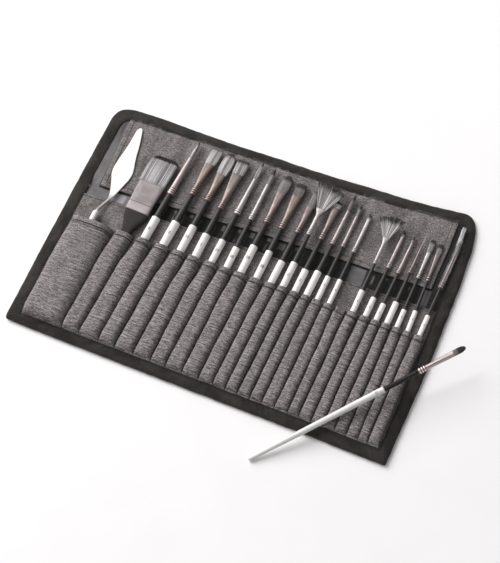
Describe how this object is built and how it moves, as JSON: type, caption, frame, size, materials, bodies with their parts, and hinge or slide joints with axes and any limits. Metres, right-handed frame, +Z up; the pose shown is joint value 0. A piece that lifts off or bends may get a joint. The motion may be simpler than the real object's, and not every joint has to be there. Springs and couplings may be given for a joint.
{
  "type": "artist brush roll case",
  "caption": "Soft roll case laid open, with cloth sleeves holding long-handled paint brushes and a palette knife, a head flap and bound edges.",
  "frame": {"origin": "on the resting plane, under the middle of the open case", "axes": "+X along the long side towards the smaller brushes, +Y from the sleeve ends towards the brush tips, +Z up"},
  "size_m": [0.6048, 0.4215, 0.0453],
  "materials": {
    "heather_canvas": "matte",
    "lining_cloth": "satin",
    "edge_tape": "matte",
    "foam_sheet": "matte",
    "strap_webbing": "matte",
    "hook_and_loop": "matte",
    "white_lacquer": "gloss",
    "black_lacquer": "satin",
    "ferrule_metal": "satin",
    "brush_hair": "satin",
    "white_plastic": "satin",
    "clear_plastic": "gloss"
  },
  "bodies": {
    "case": {"outer_cover": "heather_canvas", "stiffening_pad": "foam_sheet", "inner_lining": "lining_cloth", "edge_binding": "edge_tape", "bristle_flap": "heather_canvas", "pocket_backing": "heather_canvas", "pocket_front": "heather_canvas", "closing_strap": "strap_webbing", "strap_hook_patch": "hook_and_loop", "strap_loop_patch": "hook_and_loop"},
    "palette_knife": {"palette_knife": "white_plastic"},
    "wash_brush": {"wash_brush_handle": "black_lacquer", "wash_brush_head": "ferrule_metal"},
    "round_brush_03": {"round_brush_03_handle": "white_lacquer", "round_brush_03_head": "ferrule_metal"},
    "flat_brush_04": {"flat_brush_04_handle": "white_lacquer", "flat_brush_04_head": "ferrule_metal"},
    "filbert_brush_05": {"filbert_brush_05_handle": "white_lacquer", "filbert_brush_05_head": "ferrule_metal"},
    "flat_brush_06": {"flat_brush_06_handle": "white_lacquer", "flat_brush_06_head": "ferrule_metal"},
    "round_brush_07": {"round_brush_07_handle": "white_lacquer", "round_brush_07_head": "ferrule_metal"},
    "round_brush_08": {"round_brush_08_handle": "white_lacquer", "round_brush_08_head": "ferrule_metal"},
    "filbert_brush_09": {"filbert_brush_09_handle": "white_lacquer", "filbert_brush_09_head": "ferrule_metal"},
    "flat_brush_10": {"flat_brush_10_handle": "white_lacquer", "flat_brush_10_head": "ferrule_metal"},
    "angular_brush_11": {"angular_brush_11_handle": "white_lacquer", "angular_brush_11_head": "ferrule_metal"},
    "fan_brush_12": {"fan_brush_12_handle": "white_lacquer", "fan_brush_12_head": "ferrule_metal"},
    "angular_brush_13": {"angular_brush_13_handle": "white_lacquer", "angular_brush_13_head": "ferrule_metal"},
    "round_brush_14": {"round_brush_14_handle": "white_lacquer", "round_brush_14_head": "ferrule_metal"},
    "round_brush_15": {"round_brush_15_handle": "white_lacquer", "round_brush_15_head": "ferrule_metal"},
    "angular_brush_16": {"angular_brush_16_handle": "white_lacquer", "angular_brush_16_head": "ferrule_metal"},
    "fan_brush_18": {"fan_brush_18_handle": "white_lacquer", "fan_brush_18_head": "ferrule_metal"},
    "angular_brush_19": {"angular_brush_19_handle": "white_lacquer", "angular_brush_19_head": "ferrule_metal"},
    "round_brush_20": {"round_brush_20_handle": "white_lacquer", "round_brush_20_head": "ferrule_metal"},
    "liner_brush_21": {"liner_brush_21_handle": "white_lacquer", "liner_brush_21_head": "ferrule_metal"},
    "flat_brush_22": {"flat_brush_22_handle": "white_lacquer", "flat_brush_22_head": "ferrule_metal"},
    "flat_brush_23": {"flat_brush_23_handle": "white_lacquer", "flat_brush_23_head": "ferrule_metal"},
    "detail_brush_24": {"detail_brush_24_handle": "white_lacquer", "detail_brush_24_head": "ferrule_metal"},
    "loose_brush": {"loose_brush_handle": "white_lacquer", "loose_brush_head": "ferrule_metal"},
    "tip_guard": {"tip_guard": "clear_plastic"}
  },
  "joints": [
    {"name": "palette_knife_slide", "type": "slide", "parent": "case", "child": "palette_knife", "axis": [0, 1, 0], "range_m": [0, 0.14]},
    {"name": "wash_brush_slide", "type": "slide", "parent": "case", "child": "wash_brush", "axis": [0.0471, 0.9989, 0], "range_m": [0, 0.141]},
    {"name": "round_brush_03_slide", "type": "slide", "parent": "case", "child": "round_brush_03", "axis": [0.0619, 0.9981, 0.0061], "range_m": [0, 0.146]},
    {"name": "flat_brush_04_slide", "type": "slide", "parent": "case", "child": "flat_brush_04", "axis": [0.0658, 0.9978, 0.0061], "range_m": [0, 0.146]},
    {"name": "filbert_brush_05_slide", "type": "slide", "parent": "case", "child": "filbert_brush_05", "axis": [0.0433, 0.999, 0.0061], "range_m": [0, 0.146]},
    {"name": "flat_brush_06_slide", "type": "slide", "parent": "case", "child": "flat_brush_06", "axis": [0.0284, 0.9996, 0.0061], "range_m": [0, 0.146]},
    {"name": "round_brush_07_slide", "type": "slide", "parent": "case", "child": "round_brush_07", "axis": [0.0424, 0.9991, 0.0061], "range_m": [0, 0.146]},
    {"name": "round_brush_08_slide", "type": "slide", "parent": "case", "child": "round_brush_08", "axis": [0.0257, 0.9997, 0.0061], "range_m": [0, 0.146]},
    {"name": "filbert_brush_09_slide", "type": "slide", "parent": "case", "child": "filbert_brush_09", "axis": [0.0394, 0.9992, 0.0061], "range_m": [0, 0.146]},
    {"name": "flat_brush_10_slide", "type": "slide", "parent": "case", "child": "flat_brush_10", "axis": [0.0332, 0.9994, 0.0061], "range_m": [0, 0.146]},
    {"name": "angular_brush_11_slide", "type": "slide", "parent": "case", "child": "angular_brush_11", "axis": [0.0565, 0.9984, 0.0061], "range_m": [0, 0.146]},
    {"name": "fan_brush_12_slide", "type": "slide", "parent": "case", "child": "fan_brush_12", "axis": [0.0419, 0.9988, 0.0244], "range_m": [0, 0.146]},
    {"name": "angular_brush_13_slide", "type": "slide", "parent": "case", "child": "angular_brush_13", "axis": [0.0427, 0.9991, 0.0061], "range_m": [0, 0.146]},
    {"name": "round_brush_14_slide", "type": "slide", "parent": "case", "child": "round_brush_14", "axis": [0.0473, 0.9989, 0.0061], "range_m": [0, 0.146]},
    {"name": "round_brush_15_slide", "type": "slide", "parent": "case", "child": "round_brush_15", "axis": [0.0333, 0.9994, 0.0061], "range_m": [0, 0.146]},
    {"name": "angular_brush_16_slide", "type": "slide", "parent": "case", "child": "angular_brush_16", "axis": [0.0344, 0.9994, 0.0061], "range_m": [0, 0.146]},
    {"name": "fan_brush_18_slide", "type": "slide", "parent": "case", "child": "fan_brush_18", "axis": [0.0307, 0.9992, 0.0244], "range_m": [0, 0.146]},
    {"name": "angular_brush_19_slide", "type": "slide", "parent": "case", "child": "angular_brush_19", "axis": [0.0427, 0.9991, 0.0061], "range_m": [0, 0.146]},
    {"name": "round_brush_20_slide", "type": "slide", "parent": "case", "child": "round_brush_20", "axis": [0.0434, 0.999, 0.0061], "range_m": [0, 0.146]},
    {"name": "liner_brush_21_slide", "type": "slide", "parent": "case", "child": "liner_brush_21", "axis": [0.0344, 0.9994, 0.0061], "range_m": [0, 0.146]},
    {"name": "flat_brush_22_slide", "type": "slide", "parent": "case", "child": "flat_brush_22", "axis": [0.0187, 0.9998, 0.0061], "range_m": [0, 0.146]},
    {"name": "flat_brush_23_slide", "type": "slide", "parent": "case", "child": "flat_brush_23", "axis": [-0.0047, 1, 0.0061], "range_m": [0, 0.146]},
    {"name": "detail_brush_24_slide", "type": "slide", "parent": "case", "child": "detail_brush_24", "axis": [0.0363, 0.9993, 0.0061], "range_m": [0, 0.146]},
    {"name": "loose_brush_lift", "type": "slide", "parent": "case", "child": "loose_brush", "axis": [0, 0, 1], "range_m": [0, 0.12]},
    {"name": "tip_guard_slide", "type": "slide", "parent": "detail_brush_24", "child": "tip_guard", "axis": [0.0363, 0.9993, 0.0061], "range_m": [0, 0.085]}
  ]
}
